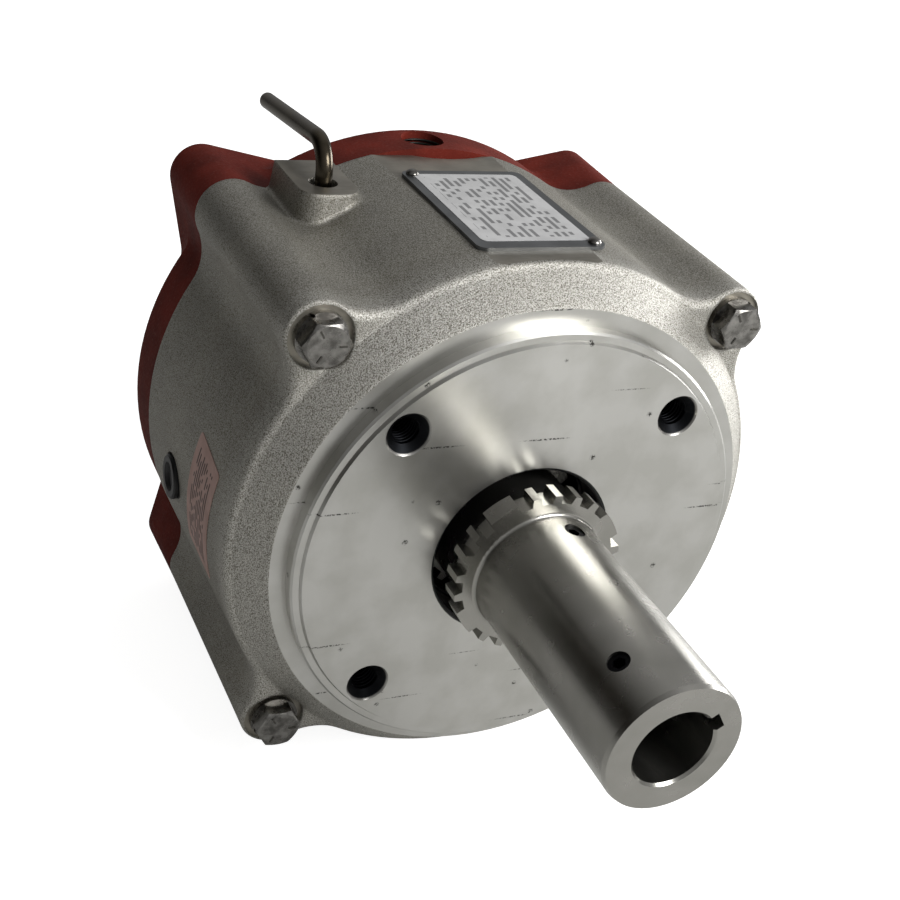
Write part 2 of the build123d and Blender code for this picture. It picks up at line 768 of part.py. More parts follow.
def make_plate_screw(x, y):
    """A round head drive screw for the data plate."""
    seat = pad_height + plate_thickness
    edge = plate_screw_head_height / 4
    crown = plate_screw_head_height - edge
    radius = (crown ** 2 + plate_screw_head_radius ** 2) / (2 * crown)
    centre_z = plate_screw_head_height - radius
    half_turn = (math.atan2(edge - centre_z, plate_screw_head_radius) + math.pi / 2) / 2
    middle = (radius * math.cos(half_turn), centre_z + radius * math.sin(half_turn))
    outline = Polyline(
        (0, plate_screw_head_height), (0, 0), (plate_screw_head_radius, 0),
        (plate_screw_head_radius, edge),
    )
    outline += ThreePointArc((plate_screw_head_radius, edge), middle, (0, plate_screw_head_height))
    dome = revolve(Plane.XZ * make_face(outline), Axis.Z)
    shank = rod_z(plate_screw_shank_radius - thread_clearance, seat - plate_screw_length, seat, x, y)
    return Pos(x, y, seat) * dome + shank


def make_plug():
    """Rubber plug in the side port: a grooved head with a dished face on a short stem."""
    groove_start = plug_flange_thickness
    groove_end = groove_start + plug_groove_width
    outline = Polyline(
        (0, -plug_stem_length), (port_radius, -plug_stem_length), (port_radius, 0),
        (plug_head_radius, 0), (plug_head_radius, groove_start),
        (plug_head_radius - plug_groove_depth, groove_start),
        (plug_head_radius - plug_groove_depth, groove_end), (plug_head_radius, groove_end),
        (plug_head_radius, plug_head_height - plug_rim_bevel),
        (plug_head_radius - plug_rim_bevel, plug_head_height), (plug_dish_radius, plug_head_height),
        (plug_dish_radius - plug_dish_bevel, plug_head_height - plug_dish_depth),
        (0, plug_head_height - plug_dish_depth), close=True,
    )
    plug = revolve(Plane.XZ * make_face(outline), Axis.Z)
    seat = Plane(origin=(-port_face_x, port_y, port_z), z_dir=(-1, 0, 0))
    return seat * plug


def make_label():
    """Blank paper label bent round the side of the drum."""
    slope = math.tan(math.radians(draft_angle))
    y_start = label_centre_y - label_height
    y_end = label_centre_y + label_height
    r_start = housing_rear_radius - (housing_rear_y - y_start) * slope + label_lift
    r_end = housing_rear_radius - (housing_rear_y - y_end) * slope + label_lift
    skin = turned(
        (r_start, y_start), (r_start + label_thickness, y_start),
        (r_end + label_thickness, y_end), (r_end, y_end),
    )
    window = Plane(origin=(0, label_centre_y, label_centre_z), x_dir=(0, 1, 0), z_dir=(-1, 0, 0))
    card = Rot(0, 0, label_tilt) * RectangleRounded(label_width, label_height, label_corner_radius)
    return skin & extrude(window * card, outer_reach)


def make_lever():
    """Bent release rod with its clip grooves."""
    slope = math.radians(lever_slope)
    path = FilletPolyline(
        (boss_x, lever_y, cam_bottom_z), (boss_x, lever_y, lever_bend_z),
        (boss_x, lever_y + lever_reach * math.cos(slope), lever_bend_z + lever_reach * math.sin(slope)),
        radius=lever_bend_radius,
    )
    rod = sweep(Plane.XY.offset(cam_bottom_z) * (Pos(boss_x, lever_y) * Circle(lever_radius)), path)
    tip = rod.faces().sort_by(Axis.Y)[-1]
    rod = fillet(tip.edges(), lever_tip_round)
    for z in clip_stations():
        groove = rod_z(lever_radius + joint_overlap, z, z + clip_thickness, boss_x, lever_y)
        groove -= rod_z(lever_radius - clip_groove, z, z + clip_thickness, boss_x, lever_y)
        rod -= groove
    pin_z = cam_bottom_z + cam_length / 2
    return rod - cross_pin(cam_pin_radius, lever_radius + joint_overlap, pin_z)


def clip_stations():
    """Lower edges of the two clips, one under the bush and one on it."""
    return (bush_top_z - bush_length - clip_thickness - face_gap, bush_top_z + face_gap)


def cross_pin(radius, half_length, z):
    """A round bar along X through the lever."""
    plane = Plane(origin=(boss_x - half_length, lever_y, z), z_dir=(1, 0, 0))
    return extrude(plane * Circle(radius), 2 * half_length)


def make_clip(z):
    """An open retaining clip in a groove of the lever."""
    inner = lever_radius - clip_groove
    clip = rod_z(clip_radius, z, z + clip_thickness, boss_x, lever_y)
    clip -= rod_z(inner, z, z + clip_thickness, boss_x, lever_y)
    mouth = Box(clip_mouth, 2 * clip_radius, 3 * clip_thickness)
    return clip - Pos(boss_x, lever_y + clip_radius, z) * mouth


def make_bush():
    """Bronze bush in the lever boss."""
    bottom = bush_top_z - bush_length
    bush = rod_z(lever_hole_radius - bush_fit, bottom, bush_top_z, boss_x, lever_y)
    return bush - rod_z(lever_radius + bush_running_clearance, bottom, bush_top_z, boss_x, lever_y)


def make_cam():
    """Release cam: an eccentric collar whose high side swings towards the pressure plate."""
    top = cam_bottom_z + cam_length
    collar = rod_z(cam_radius, cam_bottom_z, top, boss_x + cam_shift_x, lever_y + cam_shift_y)
    collar -= rod_z(lever_radius + cam_fit, cam_bottom_z, top, boss_x, lever_y)
    pin_reach = cam_radius + cam_offset + joint_overlap
    return collar - cross_pin(cam_pin_radius, pin_reach, cam_bottom_z + cam_length / 2)


def save(node, shape):
    """Write one node."""
    solids = shape if isinstance(shape, list) else [shape]
    solids = [solid for item in solids for solid in item.solids()]
    export_step(Compound(children=solids), f"parts/{node}.step")
    print(node, len(solids), round(sum(solid.volume for solid in solids) / 1000, 1), "cm3")


def main():
    """Build every node."""
    os.makedirs("parts", exist_ok=True)
    save("housing", make_housing())
    save("endplate", make_endplate())
    lobes = [(sx * lobe_offset, sz * lobe_offset) for sx, sz in corners()]
    save("housing_bolts", [make_housing_bolt(x, z) for x, z in lobes])
    gaps = zip(lobes, washer_gap_angles)
    save("housing_bolt_washers", [make_washer(x, z, angle) for (x, z), angle in gaps])
    save("magnet_body", make_magnet())
    save("coil", make_coil())
    save("coil_leads", [make_coil_lead(side) for side in (-1, 1)])
    save("lead_caps", [make_lead_cap(side) for side in (-1, 1)])
    save("magnet_screws", [make_magnet_screw(sx, sz) for sx, sz in corners()])
    spring_places = [angle + 90 * quarter for angle in spring_angles for quarter in range(4)]
    save("pressure_springs", around(make_spring(), spring_places))
    save("torque_pins", around(make_torque_pin(), (0, 90, 180, 270)))
    save("pressure_plate", make_armature())
    save("stationary_disc", make_stationary_disc())
    save("front_disc_core", make_disc_core(front_disc_y))
    save("front_disc_linings", make_linings(front_disc_y))
    save("rear_disc_core", make_disc_core(rear_disc_y))
    save("rear_disc_linings", make_linings(rear_disc_y))
    save("coupler_sleeve", make_sleeve())
    save("sleeve_set_screws", [make_set_screw(y, turn) for y, turn in set_screw_places])
    save("bore_guard", make_guard())
    save("nameplate", make_nameplate())
    save("nameplate_screws", [make_plate_screw(x, y) for x, y in plate_screw_stations])
    save("side_port_plug", make_plug())
    save("side_label", make_label())
    save("release_lever", make_lever())
    save("release_cam", make_cam())
    pin_half_length = cam_radius - cam_offset - cam_gap
    save("cam_pin", cross_pin(cam_pin_radius, pin_half_length, cam_bottom_z + cam_length / 2))
    save("lever_bush", make_bush())
    save("lever_clips", [make_clip(z) for z in clip_stations()])


main()
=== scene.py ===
# %% [markdown]
# A spring-set coupler brake, dressed for its portrait.
# The solids come from the CAD frame and stay where they are. This file gives each one
# the finish that it has on the real product, adds the threads and small marks that CAD leaves out,
# and sets up the camera, the floor and the lamps.

# %% Load the frame
import math

import bpy
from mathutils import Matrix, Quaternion, Vector


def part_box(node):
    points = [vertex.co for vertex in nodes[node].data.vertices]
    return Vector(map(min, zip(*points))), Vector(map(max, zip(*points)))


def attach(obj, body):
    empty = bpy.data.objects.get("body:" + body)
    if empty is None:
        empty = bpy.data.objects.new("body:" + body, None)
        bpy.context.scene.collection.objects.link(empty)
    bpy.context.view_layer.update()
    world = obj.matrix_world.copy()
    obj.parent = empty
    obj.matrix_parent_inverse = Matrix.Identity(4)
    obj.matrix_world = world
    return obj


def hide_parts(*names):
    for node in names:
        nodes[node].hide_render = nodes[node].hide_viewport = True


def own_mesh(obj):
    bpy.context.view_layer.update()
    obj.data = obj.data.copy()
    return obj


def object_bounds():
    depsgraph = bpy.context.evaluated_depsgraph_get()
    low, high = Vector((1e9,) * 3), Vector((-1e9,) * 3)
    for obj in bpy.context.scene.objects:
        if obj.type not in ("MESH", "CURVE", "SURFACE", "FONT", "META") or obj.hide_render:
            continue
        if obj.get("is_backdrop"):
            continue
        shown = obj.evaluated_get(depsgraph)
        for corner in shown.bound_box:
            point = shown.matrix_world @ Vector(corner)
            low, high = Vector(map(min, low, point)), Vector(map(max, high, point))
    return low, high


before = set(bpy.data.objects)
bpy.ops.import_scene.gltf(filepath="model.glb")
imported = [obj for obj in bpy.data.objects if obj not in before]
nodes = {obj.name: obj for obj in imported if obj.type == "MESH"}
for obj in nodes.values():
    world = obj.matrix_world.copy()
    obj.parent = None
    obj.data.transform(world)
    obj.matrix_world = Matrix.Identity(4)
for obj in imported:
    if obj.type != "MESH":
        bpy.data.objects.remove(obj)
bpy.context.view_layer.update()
MM = 0.001


# %% [markdown]
# The camera. The photograph was taken from about 640 mm away, from the left and above, with the
# camera tipped ten degrees clockwise. The place and the angles were solved from the round edges,
# the bolts and the tapped holes. The picture's middle isn't the middle of the lens, so the camera
# has a small shift.

# %% Camera
CAMERA_PLACE = Vector((-292.7, -451.6, 341.1)) * MM
CAMERA_AZIMUTH = math.radians(-27.75)
CAMERA_ELEVATION = math.radians(31.05)
CAMERA_ROLL = math.radians(10.04)
FOCAL_PIXELS = 1412.8
PICTURE_PIXELS = 900
LENS_CENTRE = (419.95, 497.7)
SENSOR_WIDTH = 36.0


def make_camera():
    """A camera at the photograph's place, looking its way."""
    back = Vector((
        math.sin(CAMERA_AZIMUTH) * math.cos(CAMERA_ELEVATION),
        -math.cos(CAMERA_AZIMUTH) * math.cos(CAMERA_ELEVATION),
        math.sin(CAMERA_ELEVATION),
    ))
    data = bpy.data.cameras.new("portrait_camera")
    data.sensor_width = SENSOR_WIDTH
    data.lens = FOCAL_PIXELS / PICTURE_PIXELS * SENSOR_WIDTH
    data.shift_x = (PICTURE_PIXELS / 2 - LENS_CENTRE[0]) / PICTURE_PIXELS
    data.shift_y = (LENS_CENTRE[1] - PICTURE_PIXELS / 2) / PICTURE_PIXELS
    data.clip_start = 0.01
    camera = bpy.data.objects.new("portrait_camera", data)
    bpy.context.scene.collection.objects.link(camera)
    level = back.to_track_quat("Z", "Y")
    camera.rotation_mode = "QUATERNION"
    camera.rotation_quaternion = level @ Quaternion((0, 0, 1), CAMERA_ROLL)
    camera.location = CAMERA_PLACE
    return camera


camera = make_camera()
bpy.context.scene.camera = camera
print("camera at", [round(v, 3) for v in camera.location], "lens", round(camera.data.lens, 1))


# %% [markdown]
# Colour and node helpers. Colours are written as sRGB hex, as a paint chart gives them, and one
# function turns them to the linear light that the shader works in. Another adds one node with its
# settings, its values and its links. A node given as a value stands for its first output in use, so
# nodes can be written inside each other, as a sum is.

# %% Helpers
def colour(code):
    """Linear RGBA from an sRGB hex code."""
    parts = [int(code[index:index + 2], 16) / 255 for index in (1, 3, 5)]
    linear = [part / 12.92 if part <= 0.04045 else ((part + 0.055) / 1.055) ** 2.4 for part in parts]
    return (*linear, 1.0)


def add(tree, kind, inputs=None, **settings):
    """A new node: settings are its options, inputs are values, sockets or nodes by name or number."""
    node = tree.nodes.new(kind)
    for name, value in settings.items():
        setattr(node, name, value)
    for name, value in (inputs or {}).items():
        if isinstance(value, bpy.types.Node):
            value = next(socket for socket in value.outputs if socket.enabled)
        if isinstance(value, bpy.types.NodeSocket):
            tree.links.new(value, node.inputs[name])
        else:
            node.inputs[name].default_value = value
    return node


def start_material(name):
    """An empty material and the place of each point on the piece."""
    material = bpy.data.materials.new(name)
    material.use_nodes = True
    material.node_tree.nodes.clear()
    place = add(material.node_tree, "ShaderNodeTexCoord").outputs["Object"]
    return material, material.node_tree, place


def finish_material(tree, looks):
    """The shader with its looks, and the output."""
    shader = add(tree, "ShaderNodeBsdfPrincipled", looks)
    add(tree, "ShaderNodeOutputMaterial", {"Surface": shader})


def per_metre(size_mm):
    """The scale of a texture whose features are this many millimetres apart."""
    return 1 / (size_mm * MM)


def ring_tangent(tree, place):
    """The direction in which a lathe tool moved past each point, round the shaft axis."""
    cross = add(tree, "ShaderNodeVectorMath", {0: place, 1: (0.0, 1.0, 0.0)}, operation="CROSS_PRODUCT")
    return add(tree, "ShaderNodeVectorMath", {0: cross}, operation="NORMALIZE")


def radius_of(tree, place):
    """Distance of each point from the Y axis, in metres."""
    flat = add(tree, "ShaderNodeVectorMath", {0: place, 1: (1.0, 0.0, 1.0)}, operation="MULTIPLY")
    return add(tree, "ShaderNodeVectorMath", {0: flat}, operation="LENGTH")


# %% [markdown]
# The housing is sand cast aluminium. Sand leaves a skin of small rounded grains, about half a
# millimetre across, and tumbling dulls it to a warm grey. The grain's bump is full on the sloped front
# rim and weaker along the drum, which keeps a share of it. The grains' crests carry painted highlights,
# and the front rim, which faces the light, is painted lighter with more of them than the drum. Grey
# metal with a little oxide on it scatters more than it mirrors, so it is only partly metallic. A
# Bevel node softens the corners that the drawing leaves sharp, as the sand does.

# %% Sand cast aluminium
GRAIN_MM = 0.55
LUMP_MM = 5.0
CAST_PATCH_MM = 30.0
RIM_END_Y = 27.0 * MM
DRUM_START_Y = 40.0 * MM
DRUM_GRAIN_AND_LIGHT = 0.62
GRAIN_HIGHLIGHT_SHARE = 0.68
CAST_CORNER = 2.5 * MM


def make_cast_aluminium():
    """Grainy cast skin with slow changes of tone, painted highlights on the grains, and a front rim
    painted lighter.
    """
    material, tree, place = start_material("sand_cast_aluminium")
    along = add(tree, "ShaderNodeSeparateXYZ", {0: place}).outputs["Y"]
    # 1 on the front rim, less along the drum: sets the grain's bump and the share of painted highlights,
    #                                          so the front rim is painted lighter.
    coarse_and_lit_rim = add(tree, "ShaderNodeMapRange", {
        "Value": along, "From Min": RIM_END_Y, "From Max": DRUM_START_Y,
        "To Min": 1.0, "To Max": DRUM_GRAIN_AND_LIGHT,
    })
    grain = add(tree, "ShaderNodeTexNoise", {
        "Vector": place, "Scale": per_metre(GRAIN_MM), "Detail": 3.0, "Roughness": 0.6,
    })
    lumps = add(tree, "ShaderNodeTexNoise", {
        "Vector": place, "Scale": per_metre(LUMP_MM), "Detail": 3.0,
    })
    patches = add(tree, "ShaderNodeTexNoise", {
        "Vector": place, "Scale": per_metre(CAST_PATCH_MM), "Detail": 4.0, "Roughness": 0.55,
    })
    cloud = add(tree, "ShaderNodeMapRange", {"Value": patches, "From Min": 0.34, "From Max": 0.68})
    base = add(tree, "ShaderNodeMix", {
        0: cloud, 6: colour("#4D4839"), 7: colour("#696455"),
    }, data_type="RGBA")
    # Painted highlights: the grain's crests are painted near white, as glints on the bumps.
    bright = add(tree, "ShaderNodeMapRange", {"Value": grain, "From Min": 0.36, "From Max": 0.6})
    painted_grain_highlights = add(tree, "ShaderNodeMix", {
        0: bright, 6: colour("#6A675C"), 7: colour("#E8E6E0"),
    }, data_type="RGBA")
    share = add(tree, "ShaderNodeMath", {0: coarse_and_lit_rim, 1: GRAIN_HIGHLIGHT_SHARE}, operation="MULTIPLY")
    tint = add(tree, "ShaderNodeMix", {0: share, 6: base, 7: painted_grain_highlights}, data_type="RGBA")
    rough = add(tree, "ShaderNodeMapRange", {
        "Value": grain, "From Min": 0.3, "From Max": 0.7, "To Min": 0.6, "To Max": 0.4,
    })
    soft = add(tree, "ShaderNodeBevel", {"Radius": CAST_CORNER}, samples=6)
    wavy = add(tree, "ShaderNodeBump", {
        "Height": lumps, "Distance": 0.2 * MM, "Strength": 0.5, "Normal": soft,
    })
    height = add(tree, "ShaderNodeMath", {0: grain, 1: coarse_and_lit_rim}, operation="MULTIPLY")
    skin = add(tree, "ShaderNodeBump", {
        "Height": height, "Distance": 0.35 * MM, "Strength": 0.9, "Normal": wavy,
    })
    finish_material(tree, {"Base Color": tint, "Roughness": rough, "Metallic": 0.7, "Normal": skin})
    return material


cast_aluminium = make_cast_aluminium()
print("made", cast_aluminium.name)


# %% [markdown]
# The output face, its register and the shoulder are turned on a lathe. The tool leaves fine rings
# round the shaft axis, so the light spreads across them and not along them, which draws bright
# wedges out from the middle. That is what anisotropy gives: the tangent runs round the axis, as the
# tool did, and a quarter turn lays the spread across it. Handling leaves black specks, broken
# scratches and pale stains. A set of scratches has a turn in degrees and a share of cells that
# carry one.

# %% Marks on machined metal
RING_PITCH_MM = 0.9
ACROSS_THE_RINGS = 0.25
SPECK_MM = 12.0
SPECK_SHARE = 0.3
SPECK_SIZE = 0.14
SOFT_EDGE = 0.6
SCRATCH_MM = 17.0
SCRATCH_SIZE = 0.17
SCRATCH_STRETCH = (0.2, 1.0, 5.0)
SCRATCH_SETS = ((14.0, 0.16), (-8.0, 0.12), (70.0, 0.05))
CRUMB_MM = 0.9


def turned_rings(tree, place, pitch_mm):
    """Rings round the shaft axis, uneven as a lathe leaves them."""
    along = add(tree, "ShaderNodeSeparateXYZ", {0: place}).outputs["Y"]
    line = add(tree, "ShaderNodeCombineXYZ", {"X": radius_of(tree, place), "Y": along})
    return add(tree, "ShaderNodeTexNoise", {
        "Vector": line, "Scale": per_metre(pitch_mm), "Detail": 1.0, "Roughness": 0.5,
    })


def specks(tree, place, spacing_mm, share, size):
    """Black specks: a few of the cells of a Voronoi pattern carry a dot."""
    cells = add(tree, "ShaderNodeTexVoronoi", {"Vector": place, "Scale": per_metre(spacing_mm)})
    pick = add(tree, "ShaderNodeSeparateXYZ", {0: cells.outputs["Color"]})
    here = add(tree, "ShaderNodeMath", {0: pick, 1: share}, operation="LESS_THAN")
    dot = add(tree, "ShaderNodeMapRange", {
        "Value": cells, "From Min": size, "From Max": size * SOFT_EDGE,
    })
    return add(tree, "ShaderNodeMath", {0: here, 1: dot}, operation="MULTIPLY")


def scratches(tree, place, turn, spacing_mm, share):
    """Straight scratches, thin across and long along one direction of the face."""
    laid = add(tree, "ShaderNodeMapping", {
        "Vector": place, "Rotation": (0.0, math.radians(turn), 0.0), "Scale": SCRATCH_STRETCH,
    })
    return specks(tree, laid, spacing_mm, share, SCRATCH_SIZE)


def handling_marks(tree, place):
    """Specks and scratches together, crumbled so that none is a clean shape."""
    marks = specks(tree, place, SPECK_MM, SPECK_SHARE, SPECK_SIZE)
    for turn, share in SCRATCH_SETS:
        line = scratches(tree, place, turn, SCRATCH_MM, share)
        marks = add(tree, "ShaderNodeMath", {0: marks, 1: line}, operation="MAXIMUM")
    crumbs = add(tree, "ShaderNodeTexNoise", {
        "Vector": place, "Scale": per_metre(CRUMB_MM), "Detail": 2.0,
    })
    broken = add(tree, "ShaderNodeMapRange", {"Value": crumbs, "From Min": 0.42, "From Max": 0.56})
    return add(tree, "ShaderNodeMath", {0: marks, 1: broken}, operation="MULTIPLY")


# %% Turned aluminium
STAIN_MM = 26.0
DIRT_SHARE = 0.9


def make_turned_aluminium():
    """Bright turned aluminium with faint rings, stains, specks and scratches."""
    material, tree, place = start_material("turned_aluminium")
    stains = add(tree, "ShaderNodeTexNoise", {
        "Vector": place, "Scale": per_metre(STAIN_MM), "Detail": 4.0, "Roughness": 0.5,
    })
    pale = add(tree, "ShaderNodeMapRange", {"Value": stains, "From Min": 0.4, "From Max": 0.6})
    clean = add(tree, "ShaderNodeMix", {
        0: pale, 6: colour("#B7B6B1"), 7: colour("#C3C2BE"),
    }, data_type="RGBA")
    dirt = add(tree, "ShaderNodeMath", {
        0: handling_marks(tree, place), 1: DIRT_SHARE,
    }, operation="MULTIPLY")
    tone = add(tree, "ShaderNodeMix", {0: dirt, 6: clean, 7: colour("#1D1A17")}, data_type="RGBA")
    rough = add(tree, "ShaderNodeMapRange", {
        "Value": stains, "From Min": 0.3, "From Max": 0.7, "To Min": 0.29, "To Max": 0.33,
    })
    rings = add(tree, "ShaderNodeBump", {
        "Height": turned_rings(tree, place, RING_PITCH_MM), "Distance": 0.01 * MM, "Strength": 0.35,
    })
    finish_material(tree, {
        "Base Color": tone, "Roughness": rough, "Metallic": 1.0,
        "Anisotropic": 0.6, "Anisotropic Rotation": ACROSS_THE_RINGS,
        "Tangent": ring_tangent(tree, place), "Normal": rings,
    })
    return material


turned_aluminium = make_turned_aluminium()
print("made", turned_aluminium.name)


# %% [markdown]
# The tapped holes are painted black up to just under the mouth, partly for cutting oil and old thread
# paste and partly as painted shade deep in the hole, and the countersink has a bright rim. They sit at
# the same distance on both sides of both axes, so the distance from the nearest hole's centre needs only
# the sizes of X and Z.

# %% Oily tapped holes with painted shade
BOLT_CIRCLE = 184.15 * MM
HOLE_STATION = BOLT_CIRCLE / 2 * math.cos(math.radians(45))
OIL_AND_SHADE_EDGE = 9.2 * MM
BARE_EDGE = 9.8 * MM


def make_oily_shaded_hole():
    """Black thread, part oil and part painted shade, with a bare bright rim."""
    material, tree, place = start_material("oily_shaded_tapped_hole")
    folded = add(tree, "ShaderNodeVectorMath", {0: place}, operation="ABSOLUTE")
    centred = add(tree, "ShaderNodeVectorMath", {
        0: folded, 1: (HOLE_STATION, 0.0, HOLE_STATION),
    }, operation="SUBTRACT")
    # Painted shade: inside the mouth the hole is painted near black, partly for oil and partly for the
    # shade deep in the hole.
    bare = add(tree, "ShaderNodeMapRange", {
        "Value": radius_of(tree, centred), "From Min": OIL_AND_SHADE_EDGE, "From Max": BARE_EDGE,
    })
    tone = add(tree, "ShaderNodeMix", {
        0: bare, 6: colour("#191A1C"), 7: colour("#A3A19D"),
    }, data_type="RGBA")
    rough = add(tree, "ShaderNodeMapRange", {"Value": bare, "To Min": 0.45, "To Max": 0.28})
    finish_material(tree, {"Base Color": tone, "Roughness": rough, "Metallic": 1.0})
    return material


oily_shaded_hole = make_oily_shaded_hole()
print("made", oily_shaded_hole.name)


# %% [markdown]
# The plate pad, the boss top and the spot faces under the bolts are milled. A milled face is
# flat and bright with fine straight lines.

# %% Milled aluminium
CUT_LINE_MM = 1.0
BLOTCH_MM = 22.0


def make_milled_aluminium():
    """Flat milled face with fine straight tool lines."""
    material, tree, place = start_material("milled_aluminium")
    drawn = add(tree, "ShaderNodeMapping", {"Vector": place, "Scale": (0.12, 1.0, 1.0)})
    lines = add(tree, "ShaderNodeTexNoise", {
        "Vector": drawn, "Scale": per_metre(CUT_LINE_MM), "Detail": 3.0,
    })
    blotches = add(tree, "ShaderNodeTexNoise", {
        "Vector": place, "Scale": per_metre(BLOTCH_MM), "Detail": 3.0,
    })
    cloud = add(tree, "ShaderNodeMapRange", {"Value": blotches, "From Min": 0.35, "From Max": 0.66})
    tone = add(tree, "ShaderNodeMix", {
        0: cloud, 6: colour("#7E7A71"), 7: colour("#9E998E"),
    }, data_type="RGBA")
    rough = add(tree, "ShaderNodeMapRange", {
        "Value": lines, "From Min": 0.3, "From Max": 0.7, "To Min": 0.34, "To Max": 0.48,
    })
    cuts = add(tree, "ShaderNodeBump", {"Height": lines, "Distance": 0.02 * MM, "Strength": 0.5})
    finish_material(tree, {"Base Color": tone, "Roughness": rough, "Metallic": 0.85, "Normal": cuts})
    return material


milled_aluminium = make_milled_aluminium()
print("made", milled_aluminium.name)


# %% [markdown]
# The endplate is grey iron in red oxide primer. Primer is matt and thin, so the sand texture of the
# casting shows through it; the grain's crests are painted lighter as painted highlights, which leaves
# the hollows painted darker.

# %% Red oxide primer on cast iron
IRON_GRAIN_MM = 1.3
PRIMER_PATCH_MM = 18.0


def make_red_primer():
    """Matt brick red primer over a cast skin, with painted highlights on the grain crests."""
    material, tree, place = start_material("red_oxide_primer")
    grain = add(tree, "ShaderNodeTexNoise", {
        "Vector": place, "Scale": per_metre(IRON_GRAIN_MM), "Detail": 3.0, "Roughness": 0.6,
    })
    patches = add(tree, "ShaderNodeTexNoise", {
        "Vector": place, "Scale": per_metre(PRIMER_PATCH_MM), "Detail": 4.0,
    })
    cloud = add(tree, "ShaderNodeMapRange", {"Value": patches, "From Min": 0.3, "From Max": 0.7})
    coat = add(tree, "ShaderNodeMix", {
        0: cloud, 6: colour("#561A11"), 7: colour("#72261B"),
    }, data_type="RGBA")
    # Painted highlights: the grain's crests are painted lighter, so the hollows read as shaded.
    painted_crest_highlight = add(tree, "ShaderNodeMapRange", {
        "Value": grain, "From Min": 0.6, "From Max": 0.74, "To Min": 0.0, "To Max": 0.35,
    })
    tone = add(tree, "ShaderNodeMix", {0: painted_crest_highlight, 6: coat, 7: colour("#8A4637")}, data_type="RGBA")
    rough = add(tree, "ShaderNodeMapRange", {
        "Value": grain, "From Min": 0.3, "From Max": 0.7, "To Min": 0.8, "To Max": 0.62,
    })
    skin = add(tree, "ShaderNodeBump", {"Height": grain, "Distance": 0.2 * MM, "Strength": 0.6})
    finish_material(tree, {
        "Base Color": tone, "Roughness": rough, "Specular IOR Level": 0.15, "Normal": skin,
    })
    return material


red_primer = make_red_primer()
print("made", red_primer.name)


# %% [markdown]
# Steel parts. The sleeve is turned and plated, the bolts are zinc plated, the socket screws are
# black oxide, and the release rod is drawn stainless bar. Each is a metal with its own colour and
# roughness, and the sleeve spreads the light across its lathe rings. Zinc plate has smaller
# patches of tone than the rest.

# %% Steel finishes
STEEL_RING_MM = 2.4
STEEL_PATCH_MM = 14.0


def make_steel(name, dark, light, rough_low, rough_high, anisotropy=0.0, patch_mm=STEEL_PATCH_MM):
    """Plated or plain metal with fine rings round the shaft axis."""
    material, tree, place = start_material(name)
    patches = add(tree, "ShaderNodeTexNoise", {
        "Vector": place, "Scale": per_metre(patch_mm), "Detail": 3.0, "Roughness": 0.5,
    })
    cloud = add(tree, "ShaderNodeMapRange", {"Value": patches, "From Min": 0.34, "From Max": 0.68})
    tone = add(tree, "ShaderNodeMix", {0: cloud, 6: colour(dark), 7: colour(light)}, data_type="RGBA")
    rough = add(tree, "ShaderNodeMapRange", {
        "Value": patches, "From Min": 0.3, "From Max": 0.7, "To Min": rough_low, "To Max": rough_high,
    })
    rings = add(tree, "ShaderNodeBump", {
        "Height": turned_rings(tree, place, STEEL_RING_MM), "Distance": 0.006 * MM, "Strength": 0.3,
    })
    looks = {
        "Base Color": tone, "Roughness": rough, "Metallic": 1.0, "Anisotropic": anisotropy,
        "Normal": rings,
    }
    if anisotropy:
        looks["Tangent"] = ring_tangent(tree, place)
        looks["Anisotropic Rotation"] = ACROSS_THE_RINGS
    finish_material(tree, looks)
    return material


sleeve_steel = make_steel("turned_plated_steel", "#96958F", "#A09E99", 0.25, 0.28, 0.55)
zinc_steel = make_steel("bright_zinc_plated_steel", "#5C5A57", "#94928E", 0.2, 0.34, patch_mm=5.0)
black_steel = make_steel("black_oxide_steel", "#111111", "#1F1F22", 0.3, 0.46)
machined_steel = make_steel("machined_steel", "#4B4945", "#62605B", 0.34, 0.5)
grey_iron = make_steel("machined_grey_iron", "#3A3937", "#4D4B48", 0.42, 0.6)
rod_steel = make_steel("drawn_stainless_rod", "#453F35", "#5F584C", 0.22, 0.34)
bronze = make_steel("sintered_bronze", "#6A4E2C", "#866437", 0.4, 0.55)
plate_aluminium = make_steel("brushed_plate_aluminium", "#67696B", "#7C7E80", 0.3, 0.42)
print("made eight metal finishes")


# %% [markdown]
# Mouldings and friction material are not metals. Each has a small grain of its own size.

# %% Plain materials
ROUGHNESS_SWING = 0.06


def make_plain(name, dark, light, roughness, grain_mm, relief_mm):
    """A non-metal with a fine grain."""
    material, tree, place = start_material(name)
    grain = add(tree, "ShaderNodeTexNoise", {
        "Vector": place, "Scale": per_metre(grain_mm), "Detail": 3.0,
    })
    cloud = add(tree, "ShaderNodeMapRange", {"Value": grain, "From Min": 0.35, "From Max": 0.65})
    tone = add(tree, "ShaderNodeMix", {0: cloud, 6: colour(dark), 7: colour(light)}, data_type="RGBA")
    rough = add(tree, "ShaderNodeMapRange", {
        "Value": grain, "From Min": 0.3, "From Max": 0.7,
        "To Min": roughness - ROUGHNESS_SWING, "To Max": roughness + ROUGHNESS_SWING,
    })
    relief = add(tree, "ShaderNodeBump", {"Height": grain, "Distance": relief_mm * MM, "Strength": 0.5})
    finish_material(tree, {"Base Color": tone, "Roughness": rough, "Normal": relief})
    return material


